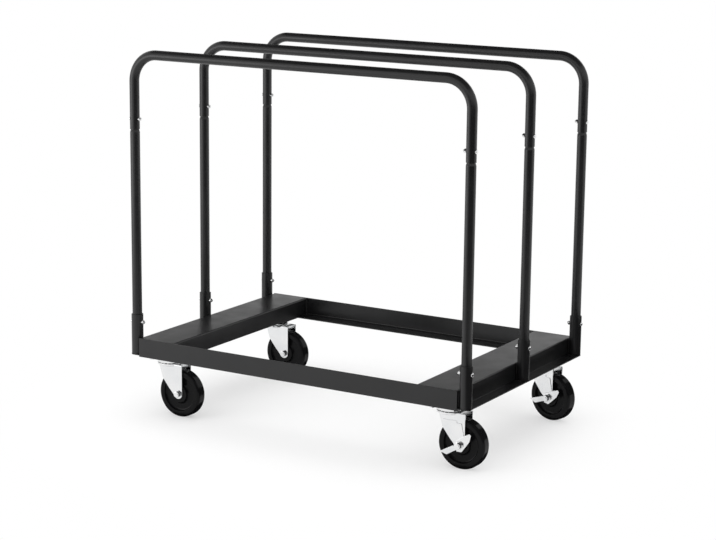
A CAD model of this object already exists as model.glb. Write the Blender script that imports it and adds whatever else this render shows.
import math

import bmesh
import bpy
from mathutils import Matrix, Vector


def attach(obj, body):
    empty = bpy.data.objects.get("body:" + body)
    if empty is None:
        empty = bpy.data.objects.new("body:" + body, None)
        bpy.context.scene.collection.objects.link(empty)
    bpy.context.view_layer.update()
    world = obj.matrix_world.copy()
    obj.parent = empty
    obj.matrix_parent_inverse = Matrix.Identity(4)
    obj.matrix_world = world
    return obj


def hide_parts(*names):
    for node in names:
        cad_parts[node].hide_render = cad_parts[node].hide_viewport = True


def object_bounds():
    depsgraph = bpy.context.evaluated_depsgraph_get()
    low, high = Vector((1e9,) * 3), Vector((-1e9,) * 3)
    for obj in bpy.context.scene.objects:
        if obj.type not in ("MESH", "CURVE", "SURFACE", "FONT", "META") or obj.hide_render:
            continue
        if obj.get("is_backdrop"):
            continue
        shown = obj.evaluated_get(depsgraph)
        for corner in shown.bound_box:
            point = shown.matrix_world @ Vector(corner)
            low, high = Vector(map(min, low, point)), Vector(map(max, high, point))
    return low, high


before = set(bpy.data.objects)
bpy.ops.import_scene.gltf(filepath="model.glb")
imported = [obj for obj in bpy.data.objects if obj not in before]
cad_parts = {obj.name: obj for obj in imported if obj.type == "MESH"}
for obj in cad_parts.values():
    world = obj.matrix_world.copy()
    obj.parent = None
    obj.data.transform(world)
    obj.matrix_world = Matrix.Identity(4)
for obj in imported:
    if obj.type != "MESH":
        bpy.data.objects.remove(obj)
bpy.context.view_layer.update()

# Side rails: two hot-rolled steel angles, sawn square at both ends.
# The upright leg stands outside, and the other leg turns in under the end decks.
# The whole base is welded, then powder coated satin black.
rail_face, rail_foot = 0.324, 0.1625
rail_leg, rail_wall = 0.050, 0.0032
rail_end = 0.4723
rail_root_radius, rail_toe_radius = 0.003, 0.0012
coat_radius = 0.0005
noise_low, noise_high = 0.32, 0.68
merge_gap, sharp_angle = 1e-6, math.radians(40)


def pattern(material, scale, detail, stretch=(1.0, 1.0, 1.0)):
    """A noise in the piece's own coordinates, with scale in repeats per metre."""
    nodes, links = material.node_tree.nodes, material.node_tree.links
    place = nodes.new("ShaderNodeTexCoord")
    drawn = nodes.new("ShaderNodeMapping")
    drawn.inputs["Scale"].default_value = stretch
    noise = nodes.new("ShaderNodeTexNoise")
    noise.inputs["Scale"].default_value = scale
    noise.inputs["Detail"].default_value = detail
    links.new(place.outputs["Object"], drawn.inputs["Vector"])
    links.new(drawn.outputs["Vector"], noise.inputs["Vector"])
    return noise.outputs["Fac"]


def between(material, value, low, high):
    """Spreads the middle of a noise over a range of numbers."""
    spread = material.node_tree.nodes.new("ShaderNodeMapRange")
    spread.inputs["From Min"].default_value = noise_low
    spread.inputs["From Max"].default_value = noise_high
    spread.inputs["To Min"].default_value = low
    spread.inputs["To Max"].default_value = high
    material.node_tree.links.new(value, spread.inputs["Value"])
    return spread.outputs["Result"]


def tones(material, value, dark, pale):
    """Spreads the middle of a noise between two colours."""
    ramp = material.node_tree.nodes.new("ShaderNodeValToRGB")
    ramp.color_ramp.elements[0].position = noise_low
    ramp.color_ramp.elements[0].color = (*dark, 1)
    ramp.color_ramp.elements[1].position = noise_high
    ramp.color_ramp.elements[1].color = (*pale, 1)
    material.node_tree.links.new(value, ramp.inputs["Fac"])
    return ramp.outputs["Color"]


def relief(material, value, height):
    """Raises a noise by a height in metres, as a bump on the shader."""
    bump = material.node_tree.nodes.new("ShaderNodeBump")
    bump.inputs["Strength"].default_value = 1.0
    bump.inputs["Distance"].default_value = height
    material.node_tree.links.new(value, bump.inputs["Height"])
    return bump.outputs["Normal"]


def finish_of(name, tone, roughness, normal, metallic=0.0, specular=0.5):
    """A new material whose tone, roughness and relief come from noises."""
    material = bpy.data.materials.new(name)
    material.use_nodes = True
    links = material.node_tree.links
    shader = material.node_tree.nodes["Principled BSDF"]
    shader.inputs["Metallic"].default_value = metallic
    shader.inputs["Specular IOR Level"].default_value = specular
    scale, detail, dark, pale = tone
    colour = tones(material, pattern(material, scale, detail), dark, pale)
    links.new(colour, shader.inputs["Base Color"])
    scale, detail, stretch, low, high = roughness
    gloss = between(material, pattern(material, scale, detail, stretch), low, high)
    links.new(gloss, shader.inputs["Roughness"])
    scale, detail, stretch, height = normal
    grain = relief(material, pattern(material, scale, detail, stretch), height)
    links.new(grain, shader.inputs["Normal"])
    return material


even = (1.0, 1.0, 1.0)
powder_coat = finish_of(
    "satin_black_powder_coat",
    tone=(9.0, 4.0, (0.0065, 0.0065, 0.0070), (0.0095, 0.0095, 0.0101)),
    roughness=(22.0, 3.0, even, 0.30, 0.36),
    normal=(850.0, 2.0, even, 0.000012),
    specular=0.45,
)


def soften(mesh, radius, above=0.7, keep=None):
    """Rounds the edges that turn by more than an angle, or those that keep lets through."""
    sharp = [
        e for e in mesh.edges
        if e.is_manifold and e.calc_face_angle() > above and (not keep or keep(e))
    ]
    bmesh.ops.bevel(
        mesh, geom=sharp, offset=radius, offset_type="OFFSET", segments=2, profile=0.5,
        affect="EDGES", clamp_overlap=True, material=-1,
    )


def round_corner(mesh, corner, radius, segments=5):
    """Rounds one square corner of a flat outline."""
    bmesh.ops.bevel(
        mesh, geom=[corner], offset=radius, offset_type="OFFSET", segments=segments, profile=0.5,
        affect="VERTICES", clamp_overlap=True, material=-1,
    )


def pull(mesh, faces, way):
    """Extrudes faces and moves them by a vector."""
    made = bmesh.ops.extrude_face_region(mesh, geom=faces)["geom"]
    bmesh.ops.translate(mesh, verts=[g for g in made if isinstance(g, bmesh.types.BMVert)], vec=way)


def set_in_place(mesh, name, body, material, slot, *nodes):
    """Makes a finished mesh a piece that rides on a body and stands for the nodes named."""
    bmesh.ops.remove_doubles(mesh, verts=mesh.verts, dist=merge_gap)
    bmesh.ops.recalc_face_normals(mesh, faces=mesh.faces)
    data = bpy.data.meshes.new(name)
    mesh.to_mesh(data)
    mesh.free()
    data.materials.append(material)
    data.shade_smooth()
    data.set_sharp_from_angle(angle=sharp_angle)
    piece = bpy.data.objects.new(name, data)
    bpy.context.scene.collection.objects.link(piece)
    flats = piece.modifiers.new("even_flats", "WEIGHTED_NORMAL")
    flats.keep_sharp = True
    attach(piece, body)
    if nodes:
        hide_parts(*nodes)
    return piece


for name, side in (("front_rail", -1), ("rear_rail", 1)):
    rail = bmesh.new()
    corners = [
        rail.verts.new((-rail_end, side * y, z))
        for y, z in (
            (rail_face, rail_foot),
            (rail_face, rail_foot + rail_leg),
            (rail_face - rail_wall, rail_foot + rail_leg),
            (rail_face - rail_wall, rail_foot + rail_wall),
            (rail_face - rail_leg, rail_foot + rail_wall),
            (rail_face - rail_leg, rail_foot),
        )
    ]
    rail.faces.new(corners)
    round_corner(rail, corners[2], rail_toe_radius)
    round_corner(rail, corners[3], rail_root_radius)
    round_corner(rail, corners[4], rail_toe_radius)
    pull(rail, rail.faces[:], (2 * rail_end, 0, 0))
    soften(rail, coat_radius)
    set_in_place(rail, name + "_angle", "base", powder_coat, "frame_paint", name)

# End decks: one folded steel sheet at each end, on which the boards stand.
# A shelf turned out at the bottom carries the sockets and runs out to the rails' faces.
# Flat pads welded between the deck's walls take the casters.
deck_in, deck_out, deck_top = 0.3603, 0.4723, 0.2125
shelf_foot, shelf_out, shelf_corner = 0.1657, 0.5035, 0.015
sheet, deck_end = 0.003, 0.3208
fold_outside, fold_inside = 0.004, 0.001
corner_cuts = 9
hair = 1e-5


def trim(mesh, point, outward):
    """Cuts away what lies outside a plane and closes the cut."""
    everything = mesh.verts[:] + mesh.edges[:] + mesh.faces[:]
    cut = bmesh.ops.bisect_plane(
        mesh, geom=everything, plane_co=point, plane_no=outward, clear_outer=True,
    )["geom_cut"]
    bmesh.ops.edgenet_fill(mesh, edges=[g for g in cut if isinstance(g, bmesh.types.BMEdge)])


for name, side in (("left_deck", -1), ("right_deck", 1)):
    deck = bmesh.new()
    corners = [
        deck.verts.new((side * x, -deck_end, z))
        for x, z in (
            (deck_in, shelf_foot),
            (deck_in, deck_top),
            (deck_out, deck_top),
            (deck_out, shelf_foot + sheet),
            (shelf_out, shelf_foot + sheet),
            (shelf_out, shelf_foot),
            (deck_out - sheet, shelf_foot),
            (deck_out - sheet, deck_top - sheet),
            (deck_in + sheet, deck_top - sheet),
            (deck_in + sheet, shelf_foot),
        )
    ]
    deck.faces.new(corners)
    for k in (1, 2, 6):
        round_corner(deck, corners[k], fold_outside)
    for k in (3, 7, 8):
        round_corner(deck, corners[k], fold_inside, segments=3)
    pull(deck, deck.faces[:], (0, 2 * deck_end, 0))
    everything = deck.verts[:] + deck.edges[:] + deck.faces[:]
    cut_x = side * (deck_out + fold_inside)
    bmesh.ops.bisect_plane(deck, geom=everything, plane_co=(cut_x, 0, 0), plane_no=(1, 0, 0))
    for end in (-1, 1):
        tips = [
            f for f in deck.faces
            if abs(f.calc_center_median().y - end * deck_end) < hair
            and side * f.calc_center_median().x > deck_out
        ]
        pull(deck, tips, (0, end * rail_wall, 0))
    for end in (-1, 1):
        centre = Vector((side * (shelf_out - shelf_corner), end * (rail_face - shelf_corner), 0))
        for k in range(corner_cuts):
            way = (k + 0.5) / corner_cuts * math.pi / 2
            outward = Vector((side * math.cos(way), end * math.sin(way), 0))
            trim(deck, centre + outward * shelf_corner, outward)
    soften(deck, coat_radius)
    set_in_place(deck, name + "_sheet", "base", powder_coat, "frame_paint", name)


def dress(node, material):
    """Gives a CAD node its finish."""
    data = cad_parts[node].data
    data.materials.clear()
    data.materials.append(material)


dress("caster_pads", powder_coat)

# Sockets: six short lengths of tube, welded to the shelves and to the decks' outer walls.
# Each takes the foot of a post, and its rim is dressed smooth.
post_x, hoop_y = 0.488, 0.308
socket_bore, socket_radius = 0.0130, 0.0155
shelf_top, socket_top = 0.1687, 0.2735
rim_radius, round_steps = 0.0007, 64
HOOPS = (("front", -hoop_y), ("middle", 0.0), ("rear", hoop_y))
SIDES = (("left", -1), ("right", 1))


def turn(mesh, outline, rounds, place, steps):
    """Spins an outline of radius and height about the upright axis, then sets it at a place."""
    before = set(mesh.verts)
    corners = [mesh.verts.new((r, 0, z)) for r, z in outline]
    mesh.faces.new(corners)
    for k, radius in rounds.items():
        round_corner(mesh, corners[k], radius)
    loop = [v for v in mesh.verts if v not in before]
    bmesh.ops.delete(mesh, geom=[f for f in mesh.faces if f.verts[0] in set(loop)], context="FACES_ONLY")
    edges = list({e for v in loop for e in v.link_edges})
    bmesh.ops.spin(
        mesh, geom=loop + edges, cent=(0, 0, 0), axis=(0, 0, 1), angle=2 * math.pi,
        steps=steps, use_merge=True,
    )
    bmesh.ops.transform(mesh, matrix=place, verts=[v for v in mesh.verts if v not in before])


for hoop, y in HOOPS:
    for end, side in SIDES:
        socket = bmesh.new()
        outline = (
            (socket_bore, shelf_top),
            (socket_radius, shelf_top),
            (socket_radius, socket_top),
            (socket_bore, socket_top),
        )
        place = Matrix.Translation((side * post_x, y, 0))
        turn(socket, outline, {2: rim_radius, 3: rim_radius}, place, round_steps)
        name = "socket_%s_%s" % (hoop, end)
        set_in_place(socket, name + "_tube", "base", powder_coat, "frame_paint", name)

# Weld beads: short runs of weld, coated over with the base.
# They hold the sockets to the shelves and deck walls, and the decks to the rails.
# None runs round the outside of a socket's foot, which is level with the shelf's edge.
bead_radius, bead_step = 0.0021, 0.0023
bead_lean, lean_rate = 0.5, 1.7
bead_swell, swell_rate = 0.06, 2.3
foot_gap, wall_gap = 0.0006, 0.0010
foot_ring = socket_radius + foot_gap
foot_start, foot_end, foot_beads = math.radians(90), math.radians(118), 5
wall_bead_x, wall_bead_y = deck_out + wall_gap, 0.0084
beads = bmesh.new()


def weld(start, end):
    """A straight run of overlapping beads."""
    run = Vector(end) - Vector(start)
    count = max(1, round(run.length / bead_step))
    for k in range(count + 1):
        spot = Matrix.Translation(Vector(start) + run * k / count)
        lean = Matrix.Rotation(bead_lean * math.sin(lean_rate * k), 4, "X")
        radius = bead_radius * (1 + bead_swell * math.sin(swell_rate * k))
        bmesh.ops.create_icosphere(beads, subdivisions=2, radius=radius, matrix=spot @ lean)


for hoop, y in HOOPS:
    for end, side in SIDES:
        for way in (-1, 1):
            for k in range(foot_beads):
                angle = foot_start + (foot_end - foot_start) * k / (foot_beads - 1)
                foot_x = side * (post_x + foot_ring * math.cos(angle))
                spot = Vector((foot_x, y + way * foot_ring * math.sin(angle), shelf_top))
                if abs(spot.y) < rail_face - bead_radius:
                    weld(spot, spot)
            bead_x, bead_y = side * wall_bead_x, y + way * wall_bead_y
            weld((bead_x, bead_y, shelf_top + bead_radius), (bead_x, bead_y, deck_top - fold_outside))
for x in (-deck_in, deck_in):
    for y in (-deck_end, deck_end):
        weld((x, y, shelf_foot + rail_wall), (x, y, deck_top - fold_outside))
set_in_place(beads, "weld_beads", "base", powder_coat, "frame_paint")

# Posts: six straight tubes, each standing in its socket.
# The top of each is swaged down to slide up into a hoop's end.
tube_radius, tube_wall = 0.0127, 0.0018
shoulder_z, swage_rise, spigot_top = 0.7545, 0.006, 0.8165
slip_gap, shoulder_radius = 0.0002, 0.0016
spigot_radius = tube_radius - tube_wall - slip_gap

for hoop, y in HOOPS:
    for end, side in SIDES:
        post = bmesh.new()
        outline = (
            (tube_radius - tube_wall, shelf_top),
            (tube_radius, shelf_top),
            (tube_radius, shoulder_z),
            (spigot_radius, shoulder_z + swage_rise),
            (spigot_radius, spigot_top),
            (spigot_radius - tube_wall, spigot_top),
            (spigot_radius - tube_wall, shoulder_z + swage_rise),
            (tube_radius - tube_wall, shoulder_z),
        )
        place = Matrix.Translation((side * post_x, y, 0))
        turn(post, outline, {2: shoulder_radius, 3: shoulder_radius}, place, round_steps)
        name = "post_%s_%s" % (hoop, end)
        set_in_place(post, name + "_tube", "base", powder_coat, "frame_paint", name)

# Hoops: three tubes, each bent twice on a former to an upside-down U.
# Their open ends slip over the swaged posts, with a thin dark line left at the joint.
hoop_foot, bar_z, bend_radius = 0.7615, 0.955, 0.070
bend_steps, tube_steps = 28, 56
rim_depth = 0.012
bend_z, bend_x = bar_z - bend_radius, post_x - bend_radius


def run_on(mesh, ring, way):
    """Lengthens an open tube from its last ring of edges, and gives the new ring."""
    made = bmesh.ops.extrude_edge_only(mesh, edges=ring)["geom"]
    bmesh.ops.translate(mesh, verts=[g for g in made if isinstance(g, bmesh.types.BMVert)], vec=way)
    return [g for g in made if isinstance(g, bmesh.types.BMEdge)]


def bend(mesh, ring, centre):
    """Bends an open tube by a quarter turn from its last ring of edges, and gives the new ring."""
    made = bmesh.ops.spin(
        mesh, geom=ring, cent=centre, axis=(0, 1, 0), angle=math.pi / 2, steps=bend_steps, use_merge=False,
    )["geom_last"]
    return [g for g in made if isinstance(g, bmesh.types.BMEdge)]


def rim(mesh, ring, centre):
    """Turns an open tube's end in to its bore, with a rounded rim."""
    inner = run_on(mesh, ring, (0, 0, 0))
    share = (tube_radius - tube_wall) / tube_radius
    corners = list({v for e in inner for v in e.verts})
    bmesh.ops.scale(mesh, verts=corners, vec=(share, share, 1), space=Matrix.Translation(-Vector(centre)))
    run_on(mesh, inner, (0, 0, rim_depth))


def at_foot(edge):
    """True for the edges round a hoop's open ends."""
    return all(abs(v.co.z - hoop_foot) < merge_gap for v in edge.verts)


for hoop, y in HOOPS:
    tube = bmesh.new()
    start = bmesh.ops.create_circle(
        tube, segments=tube_steps, radius=tube_radius, matrix=Matrix.Translation((-post_x, y, hoop_foot)),
    )["verts"]
    first = list({e for v in start for e in v.link_edges})
    last = run_on(tube, first, (0, 0, bend_z - hoop_foot))
    last = bend(tube, last, (-bend_x, y, bend_z))
    last = run_on(tube, last, (2 * bend_x, 0, 0))
    last = bend(tube, last, (bend_x, y, bend_z))
    last = run_on(tube, last, (0, 0, hoop_foot - bend_z))
    rim(tube, first, (-post_x, y, hoop_foot))
    rim(tube, last, (post_x, y, hoop_foot))
    soften(tube, rim_radius, keep=at_foot)
    set_in_place(tube, "hoop_%s_tube" % hoop, "base", powder_coat, "frame_paint", "hoop_" + hoop)

# Tube bolts and nuts: zinc plated steel, one bolt through each socket and one through each joint.
# The low round heads face out along the cart, the nuts and thread ends face in.
zinc = finish_of(
    "bright_zinc_plate",
    tone=(26.0, 4.0, (0.77, 0.78, 0.79), (0.84, 0.84, 0.84)),
    roughness=(60.0, 3.0, even, 0.14, 0.22),
    normal=(420.0, 3.0, (1.0, 1.0, 0.25), 0.000004),
    metallic=1.0,
)
bolt_head_radius, bolt_head_rise, bolt_head_rim = 0.0055, 0.0035, 0.0010
bolt_radius, thread_depth, thread_pitch = 0.0030, 0.0004, 0.0010
nut_across, nut_height, nut_edge = 0.010, 0.005, 0.0005
bolt_end = 0.003
dome_cuts, dome_steps, thread_steps = 6, 32, 24
socket_bolt_z, joint_bolt_z = 0.2525, 0.788


def thread(mesh, radius, foot, length, pitch, depth, place):
    """A bolt's end: a run of thread ridges and a chamfered tip, along the upright axis from foot."""
    outline = [(0, foot)]
    for k in range(int(length / pitch)):
        outline += [(radius - depth, foot + k * pitch), (radius, foot + (k + 0.5) * pitch)]
    outline += [(radius - depth, foot + length), (0, foot + length)]
    turn(mesh, outline, {}, place, thread_steps)


def hex_nut(mesh, across, height, edge, place):
    """A hexagon nut on the upright axis, with its corners eased."""
    before = set(mesh.verts)
    made = bmesh.ops.create_circle(mesh, cap_ends=True, segments=6, radius=across / math.sqrt(3))["verts"]
    faces = list({f for v in made for f in v.link_faces})
    pull(mesh, faces, (0, 0, height))
    inside = {v for v in mesh.verts if v not in before}
    soften(mesh, edge, keep=lambda e: e.verts[0] in inside)
    bmesh.ops.transform(mesh, matrix=place, verts=[v for v in mesh.verts if v not in before])


for name, z, seat in (("socket", socket_bolt_z, socket_radius), ("joint", joint_bolt_z, tube_radius)):
    bolts, nuts = bmesh.new(), bmesh.new()
    for hoop, y in HOOPS:
        for end, side in SIDES:
            place = Matrix.Translation((side * post_x, y, z)) @ Matrix.Rotation(side * math.pi / 2, 4, "Y")
            dome = [(0, seat), (bolt_head_radius, seat), (bolt_head_radius, seat + bolt_head_rim)]
            for k in range(1, dome_cuts):
                angle = k * math.pi / (2 * dome_cuts)
                rise = bolt_head_rim + (bolt_head_rise - bolt_head_rim) * math.sin(angle)
                dome.append((bolt_head_radius * math.cos(angle), seat + rise))
            dome.append((0, seat + bolt_head_rise))
            turn(bolts, dome, {}, place, dome_steps)
            inward = place @ Matrix.Rotation(math.pi, 4, "X")
            thread(bolts, bolt_radius, seat, nut_height + bolt_end, thread_pitch, thread_depth, inward)
            hex_nut(nuts, nut_across, nut_height, nut_edge, inward @ Matrix.Translation((0, 0, seat)))
    set_in_place(bolts, name + "_bolts_zinc", "base", zinc, "zinc", name + "_bolts")
    set_in_place(nuts, name + "_nuts_zinc", "base", zinc, "zinc", name + "_nuts")

# Caster plates: pressed zinc plated plates, bolted up under the base at its corners.
# The upper race of the swivel bearing is pressed out of the underside, and a rivet holds the fork.
caster_x, caster_y, caster_top = 0.420, 0.256, 0.1625
plate_x, plate_y, plate_thick = 0.084, 0.104, 0.004
plate_corner, plate_edge = 0.006, 0.0006
race_low, race_radius, race_shoulder, race_bore = 0.1445, 0.034, 0.0028, 0.0065
CASTERS = (
    ("front_left", -1, -1, False),
    ("front_right", 1, -1, True),
    ("rear_left", -1, 1, False),
    ("rear_right", 1, 1, True),
)

for caster, side, end, braked in CASTERS:
    plate = bmesh.new()
    middle = Matrix.Translation((side * caster_x, end * caster_y, caster_top - plate_thick / 2))
    bmesh.ops.create_cube(plate, size=1, matrix=middle @ Matrix.Diagonal((plate_x, plate_y, plate_thick, 1)))
    upright = [e for e in plate.edges if abs(e.verts[0].co.z - e.verts[1].co.z) > plate_thick / 2]
    bmesh.ops.bevel(
        plate, geom=upright, offset=plate_corner, offset_type="OFFSET", segments=6, profile=0.5,
        affect="EDGES", material=-1,
    )
    soften(plate, plate_edge)
    axis = Matrix.Translation((side * caster_x, end * caster_y, 0))
    race = (
        (race_bore, race_low),
        (race_radius, race_low),
        (race_radius, caster_top - plate_thick / 2),
        (race_bore, caster_top - plate_thick / 2),
    )
    turn(plate, race, {1: race_shoulder}, axis, round_steps)
    set_in_place(plate, "caster_plate_%s_pressing" % caster, "base", zinc, "zinc", "caster_plate_" + caster)
    dress("bearing_balls_" + caster, zinc)
for node in ("caster_bolts", "caster_nuts", "kingpins"):
    dress(node, zinc)

# Forks: pressed steel, bright zinc plated.
# Two legs turn down from a crown, step out at the rear and narrow to a round end.
# They carry the axle behind the swivel, and the rear right one stands turned a little.
crown_low, crown_top, crown_front, crown_half = 0.1365, 0.1425, 0.036, 0.020
leg_outside, leg_thick = 0.021, 0.003
leg_back, leg_front = -0.022, 0.051
leg_step, step_front, step_back = 0.0015, -0.020, -0.026
knee = Vector((-0.010, 0, 0.1035))
trail, axle_z, tip_radius = 0.038, 0.0635, 0.013
crown_bend, fork_edge = 0.0024, 0.0006
crown_rise, crown_sink = 0.0006, 0.0004
end_cuts = 12
axle = Vector((trail, 0, axle_z))
fork_turns = {"rear_right": math.radians(-12)}


def at_fork(caster, side, end):
    """The place of a caster's swivel axis, turned as its fork stands."""
    turned = Matrix.Rotation(fork_turns.get(caster, 0.0), 4, "Z")
    return Matrix.Translation((side * caster_x, end * caster_y, 0)) @ turned


def round_end(mesh, back, centre, radius):
    """Trims plates to a round end about a centre, between the slope down from back and the front edge."""
    slope = centre - back
    first = math.atan2(slope.z, slope.x) - math.asin(radius / slope.length) - math.pi / 2
    for k in range(end_cuts + 1):
        way = first * (1 - k / end_cuts)
        outward = Vector((math.cos(way), 0, math.sin(way)))
        trim(mesh, centre + outward * radius, outward)


def joggle(mesh, front, back, step):
    """Presses the rear part of upright plates outwards, by a slope between two lines across them."""
    for x in (front, back):
        everything = mesh.verts[:] + mesh.edges[:] + mesh.faces[:]
        bmesh.ops.bisect_plane(mesh, geom=everything, plane_co=(x, 0, 0), plane_no=(1, 0, 0))
    for way in (-1, 1):
        rear = [v for v in mesh.verts if v.co.x < back + hair and way * v.co.y > 0]
        bmesh.ops.translate(mesh, verts=rear, vec=(0, way * step, 0))


for caster, side, end, braked in CASTERS:
    fork = bmesh.new()
    leg_corners = (
        (leg_back, crown_top),
        (leg_back, axle_z - tip_radius),
        (leg_front, axle_z - tip_radius),
        (leg_front, crown_top),
    )
    for way in (-1, 1):
        leg = fork.faces.new([fork.verts.new((x, way * leg_outside, z)) for x, z in leg_corners])
        pull(fork, [leg], (0, -way * leg_thick, 0))
    bmesh.ops.recalc_face_normals(fork, faces=fork.faces)
    back_edge = knee - Vector((leg_back, 0, crown_top))
    trim(fork, knee, (back_edge.z, 0, -back_edge.x))
    round_end(fork, knee, axle, tip_radius)
    joggle(fork, trail + step_front, trail + step_back, leg_step)
    folds = [
        e for e in fork.edges
        if all(v.co.z > crown_top - hair and abs(v.co.y) > leg_outside - hair for v in e.verts)
    ]
    bmesh.ops.bevel(
        fork, geom=folds, offset=crown_bend, offset_type="OFFSET", segments=4, profile=0.5,
        affect="EDGES", clamp_overlap=True, material=-1,
    )
    middle = Matrix.Translation(((leg_back + crown_front) / 2, 0, (crown_low + crown_top - crown_sink) / 2))
    slab = Matrix.Diagonal((crown_front - leg_back, 2 * crown_half, crown_top - crown_sink - crown_low, 1))
    bmesh.ops.create_cube(fork, size=1, matrix=middle @ slab)
    soften(fork, fork_edge)
    crown = (
        (race_bore, crown_low + crown_rise),
        (race_radius, crown_low + crown_rise),
        (race_radius, crown_top + crown_rise),
        (race_bore, crown_top + crown_rise),
    )
    turn(fork, crown, {1: race_shoulder, 2: fork_edge}, Matrix.Identity(4), round_steps)
    bmesh.ops.transform(fork, matrix=at_fork(caster, side, end), verts=fork.verts)
    set_in_place(fork, "fork_%s_pressing" % caster, "swivel_" + caster, zinc, "zinc", "fork_" + caster)

# Wheels: one moulding of hard black rubber each, turning on a steel bush.
# A rim band stands out beside the tread, with a deep ring of recess and a hub boss inside it.
wheel_black = finish_of(
    "moulded_black_rubber",
    tone=(16.0, 4.0, (0.0042, 0.0042, 0.0045), (0.0062, 0.0062, 0.0066)),
    roughness=(45.0, 3.0, even, 0.14, 0.20),
    normal=(300.0, 3.0, even, 0.00003),
    specular=0.10,
)
wheel_radius, tread_half = 0.0635, 0.0155
rim_inside, web_half = 0.0475, 0.0085
hub_radius, hub_half, hub_bore = 0.024, 0.017, 0.0082
tread_shoulder, rim_edge, recess_root, hub_edge = 0.007, 0.002, 0.006, 0.0014
parting_line, wheel_steps = 0.0002, 112

for caster, side, end, braked in CASTERS:
    wheel = bmesh.new()
    half = [
        (hub_bore, hub_half),
        (hub_radius, hub_half),
        (hub_radius, web_half),
        (rim_inside, web_half),
        (rim_inside, tread_half),
        (wheel_radius, tread_half),
        (wheel_radius, 2 * parting_line),
    ]
    outline = half + [(wheel_radius - parting_line, 0)] + [(r, -h) for r, h in reversed(half)]
    rounds = {1: hub_edge, 2: recess_root, 3: recess_root, 4: rim_edge, 5: tread_shoulder}
    last = len(outline) - 1
    rounds.update({last - k: radius for k, radius in list(rounds.items())})
    place = at_fork(caster, side, end) @ Matrix.Translation(axle) @ Matrix.Rotation(math.pi / 2, 4, "X")
    turn(wheel, outline, rounds, place, wheel_steps)
    name = "wheel_" + caster
    set_in_place(wheel, name + "_moulding", "roller_" + caster, wheel_black, "wheel", name)
    dress("bush_" + caster, zinc)

# Axles: zinc plated steel bolts through the forks and bushes, heads at the rear.
# Each is drawn up by a tall nut at the front, outside the brake lever where there is one.
# The nut's face is bright, and its flats are left dark.
dark_steel = finish_of(
    "dark_steel",
    tone=(90.0, 3.0, (0.045, 0.045, 0.048), (0.080, 0.080, 0.084)),
    roughness=(120.0, 3.0, even, 0.30, 0.42),
    normal=(700.0, 2.0, even, 0.000010),
    metallic=1.0,
)
axle_nut_across, axle_nut_height, axle_nut_edge = 0.015, 0.008, 0.0009
plain_seat, braked_seat = 0.021, 0.0276
flat_lean = 0.3

for caster, side, end, braked in CASTERS:
    dress("axle_" + caster, zinc)
    seat = braked_seat if braked else plain_seat
    nut = bmesh.new()
    hex_nut(nut, axle_nut_across, axle_nut_height, axle_nut_edge, Matrix.Identity(4))
    nut.normal_update()
    for face in nut.faces:
        face.material_index = int(abs(face.normal.z) < flat_lean)
    place = at_fork(caster, side, end) @ Matrix.Translation((trail, -seat, axle_z))
    place = place @ Matrix.Rotation(math.pi / 2, 4, "X")
    bmesh.ops.transform(nut, matrix=place, verts=nut.verts)
    name = "axle_nut_" + caster
    piece = set_in_place(nut, name + "_zinc", "swivel_" + caster, zinc, "zinc", name)
    piece.data.materials.append(dark_steel)

# Side brakes: on the right pair of casters only, stamped from zinc plated sheet.
# A stepped wear plate lies on the fork's leg, and a rocker lever turns on the axle outside it.
# The rear lever is released, with its pedal higher than the front one's.
brake_plate_out, brake_plate_thick = 0.0225, 0.0015
lever_near, lever_thick = 0.0228, 0.0025
pedal_fold, pedal_flat, pedal_step = -0.014, -0.022, 0.008
boss_radius, boss_rise = 0.010, 0.002
lever_bore, boss_steps, stamped_edge = 0.0051, 48, 0.0005
pedal_lifts = {"rear_right": math.radians(12)}
wear_back, wear_tip = Vector((-0.0465, 0, 0.040)), 0.0115
wear_outline = (
    (wear_back.x, 0.060), (wear_back.x, -wear_tip), (wear_tip, -wear_tip), (wear_tip, 0.021),
    (0.004, 0.0545), (-0.009, 0.0545), (-0.009, 0.060),
)
lever_outline = (
    (-0.0100, 0.0100), (0.0130, 0.0250), (0.0280, 0.0330), (0.0320, 0.0290),
    (0.0280, 0.0130), (0.0190, 0.0), (0.0070, -0.0160), (-0.0070, -0.0160),
    (-0.0074, -0.0124), (-0.0294, -0.0251), (-0.0485, -0.0199), (-0.0092, 0.0028),
)

for caster, side, end, braked in CASTERS:
    if not braked:
        continue
    place = at_fork(caster, side, end) @ Matrix.Translation(axle)
    wear = bmesh.new()
    wear.faces.new([wear.verts.new((x, -brake_plate_out, z)) for x, z in wear_outline])
    pull(wear, wear.faces[:], (0, brake_plate_thick, 0))
    bmesh.ops.recalc_face_normals(wear, faces=wear.faces)
    round_end(wear, wear_back, Vector(), wear_tip)
    joggle(wear, step_front, step_back, leg_step)
    soften(wear, stamped_edge)
    bmesh.ops.transform(wear, matrix=place, verts=wear.verts)
    name = "brake_plate_" + caster
    set_in_place(wear, name + "_stamping", "swivel_" + caster, zinc, "zinc", name)
    lever = bmesh.new()
    lever.faces.new([lever.verts.new((x, -lever_near, z)) for x, z in lever_outline])
    pull(lever, lever.faces[:], (0, -lever_thick, 0))
    joggle(lever, pedal_fold, pedal_flat, pedal_step)
    bmesh.ops.recalc_face_normals(lever, faces=lever.faces)
    soften(lever, stamped_edge)
    boss = (
        (lever_bore, lever_near),
        (boss_radius, lever_near),
        (boss_radius, lever_near + lever_thick + boss_rise),
        (lever_bore, lever_near + lever_thick + boss_rise),
    )
    turn(lever, boss, {2: boss_rise / 2}, Matrix.Rotation(math.pi / 2, 4, "X"), boss_steps)
    lifted = Matrix.Rotation(pedal_lifts.get(caster, 0.0), 4, "Y")
    bmesh.ops.transform(lever, matrix=place @ lifted, verts=lever.verts)
    name = "brake_lever_" + caster
    set_in_place(lever, name + "_stamping", "brake_" + caster, zinc, "zinc", name)

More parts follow.
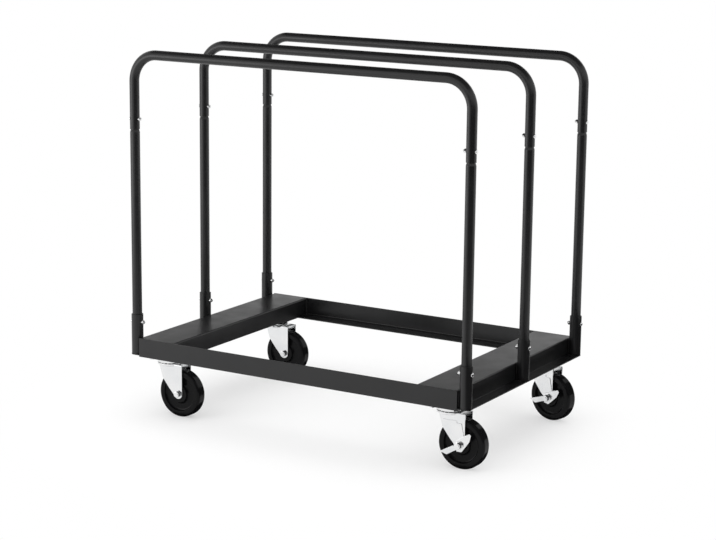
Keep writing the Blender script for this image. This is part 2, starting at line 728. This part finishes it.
# Floor: a wide, plain white studio floor that keeps the cart's shadow.
# Away from the cart it runs out to an even white.
floor_half, shade_near, shade_far, shade_share = 40.0, 0.3, 0.95, 0.65
floor_mesh = bmesh.new()
bmesh.ops.create_grid(floor_mesh, x_segments=1, y_segments=1, size=floor_half)
floor_data = bpy.data.meshes.new("studio_floor")
floor_mesh.to_mesh(floor_data)
floor_mesh.free()
floor = bpy.data.objects.new("studio_floor", floor_data)
bpy.context.scene.collection.objects.link(floor)
floor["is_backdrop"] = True
paper = bpy.data.materials.new("white_paper")
paper.use_nodes = True
nodes, links = paper.node_tree.nodes, paper.node_tree.links
matt = nodes["Principled BSDF"]
matt.inputs["Base Color"].default_value = (0.93, 0.93, 0.93, 1)
matt.inputs["Roughness"].default_value = 0.9
matt.inputs["Specular IOR Level"].default_value = 0.1
place = nodes.new("ShaderNodeTexCoord")
away = nodes.new("ShaderNodeVectorMath")
away.operation = "LENGTH"
links.new(place.outputs["Object"], away.inputs[0])
fade = nodes.new("ShaderNodeMapRange")
fade.interpolation_type = "SMOOTHSTEP"
fade.inputs["From Min"].default_value = shade_near
fade.inputs["From Max"].default_value = shade_far
fade.inputs["To Min"].default_value = 1 - shade_share
links.new(away.outputs["Value"], fade.inputs["Value"])


def seen_directly(tree):
    """One for rays from the camera, from gloss and through glass, and zero for the rest."""
    rays = tree.nodes.new("ShaderNodeLightPath")
    total = rays.outputs["Is Camera Ray"]
    for kind in ("Is Glossy Ray", "Is Transmission Ray"):
        either = tree.nodes.new("ShaderNodeMath")
        either.operation = "MAXIMUM"
        tree.links.new(total, either.inputs[0])
        tree.links.new(rays.outputs[kind], either.inputs[1])
        total = either.outputs["Value"]
    return total


both = nodes.new("ShaderNodeMath")
both.operation = "MULTIPLY"
links.new(fade.outputs["Result"], both.inputs[0])
links.new(seen_directly(paper.node_tree), both.inputs[1])
white = nodes.new("ShaderNodeEmission")
white.inputs["Strength"].default_value = 1.0
mix = nodes.new("ShaderNodeMixShader")
links.new(both.outputs["Value"], mix.inputs["Fac"])
links.new(matt.outputs["BSDF"], mix.inputs[1])
links.new(white.outputs["Emission"], mix.inputs[2])
links.new(mix.outputs["Shader"], nodes["Material Output"].inputs["Surface"])
floor_data.materials.append(paper)

# Studio light: a white room all round and one large soft box overhead.
# A second soft box stands to the left of the camera and draws the streaks along the tubes.
world = bpy.data.worlds.new("white_studio")
bpy.context.scene.world = world
world.use_nodes = True
backdrop = world.node_tree.nodes["Background"]
backdrop.inputs["Color"].default_value = (1, 1, 1, 1)
backdrop.inputs["Strength"].default_value = 1.0


def soft_box(name, place, target, width, height, power):
    """A rectangular area lamp turned towards a target."""
    data = bpy.data.lights.new(name, "AREA")
    data.shape = "RECTANGLE"
    data.size, data.size_y, data.energy = width, height, power
    lamp = bpy.data.objects.new(name, data)
    lamp.visible_camera = False
    lamp.location = place
    lamp.rotation_euler = (Vector(target) - Vector(place)).to_track_quat("-Z", "Y").to_euler()
    bpy.context.scene.collection.objects.link(lamp)


soft_box(
    "overhead_soft_box", place=(-0.2, 0.1, 4.5), target=(0, 0, 0), width=5.0, height=5.0, power=50,
)
soft_box(
    "left_soft_box", place=(-1.7, -1.7, 0.6), target=(0, 0, 0.5), width=1.2, height=1.1, power=9,
)

# Black flags: black boards in front of the cart below the lens, low inside it and beside its right end,
# high behind it, flat above it, and on the floor by each wheel. They keep the white room out of the gloss.
# The camera and the shadows pass them by.
card_half, card_back, card_z = 0.09, 0.05, 0.001
top_flag_half, top_flag_z = 2.2, 2.6
flags_mesh = bmesh.new()
for start, stop, low, high in (
    ((0.0, -2.1), (1.9, -1.0), 0.0, 1.1),
    ((1.9, -1.0), (2.2, 0.0), 0.0, 1.1),
    ((-0.15, -0.26), (-0.15, 1.00), 0.0, 0.14),
    ((0.60, -0.75), (0.60, 1.30), 0.085, 0.25),
    ((-2.1, 1.7), (0.1, 1.7), 0.78, 2.0),
):
    corners = [flags_mesh.verts.new((*start, z)) for z in (low, high)]
    corners += [flags_mesh.verts.new((*stop, z)) for z in (high, low)]
    flags_mesh.faces.new(corners)
bmesh.ops.create_grid(
    flags_mesh, x_segments=1, y_segments=1, size=top_flag_half,
    matrix=Matrix.Translation((0, 0, top_flag_z)),
)
for caster, side, end, braked in CASTERS:
    card = Matrix.Translation((side * caster_x + trail, end * caster_y + card_back, card_z))
    bmesh.ops.create_grid(flags_mesh, x_segments=1, y_segments=1, size=card_half, matrix=card)
flags_data = bpy.data.meshes.new("black_flags")
flags_mesh.to_mesh(flags_data)
flags_mesh.free()
flags_data.materials.append(finish_of(
    "black_cloth",
    tone=(60.0, 2.0, (0.004, 0.004, 0.004), (0.008, 0.008, 0.008)),
    roughness=(60.0, 2.0, even, 0.90, 0.98),
    normal=(900.0, 2.0, even, 0.0001),
    specular=0.05,
))
flags = bpy.data.objects.new("black_flags", flags_data)
bpy.context.scene.collection.objects.link(flags)
flags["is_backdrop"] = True
flags.visible_camera = False
flags.visible_diffuse = False
flags.visible_shadow = False

# Camera: a long lens in front of the cart, to its right and a little above it.
# Its frame is 716 by 540 pixels.
frame_width = 716
focal_pixels = 1989.17
eye = Vector((2.60931, -4.37541, 1.47912))
yaw, pitch, roll = math.radians(-30.8018), math.radians(12.0284), math.radians(0.6103)
ahead = Vector((math.sin(yaw) * math.cos(pitch), math.cos(yaw) * math.cos(pitch), -math.sin(pitch)))
level = Vector((math.cos(yaw), -math.sin(yaw), 0))
upward = level.cross(ahead)
across = level * math.cos(roll) + upward * math.sin(roll)
upward = across.cross(ahead)
camera_data = bpy.data.cameras.new("camera")
camera_data.sensor_fit = "HORIZONTAL"
camera_data.sensor_width = 36.0
camera_data.lens = focal_pixels * camera_data.sensor_width / frame_width
camera = bpy.data.objects.new("camera", camera_data)
bpy.context.scene.collection.objects.link(camera)
turned = Matrix((across, upward, -ahead)).transposed().to_4x4()
camera.matrix_world = Matrix.Translation(eye) @ turned
bpy.context.scene.camera = camera
bpy.context.scene.view_settings.view_transform = "Standard"

low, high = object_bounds()
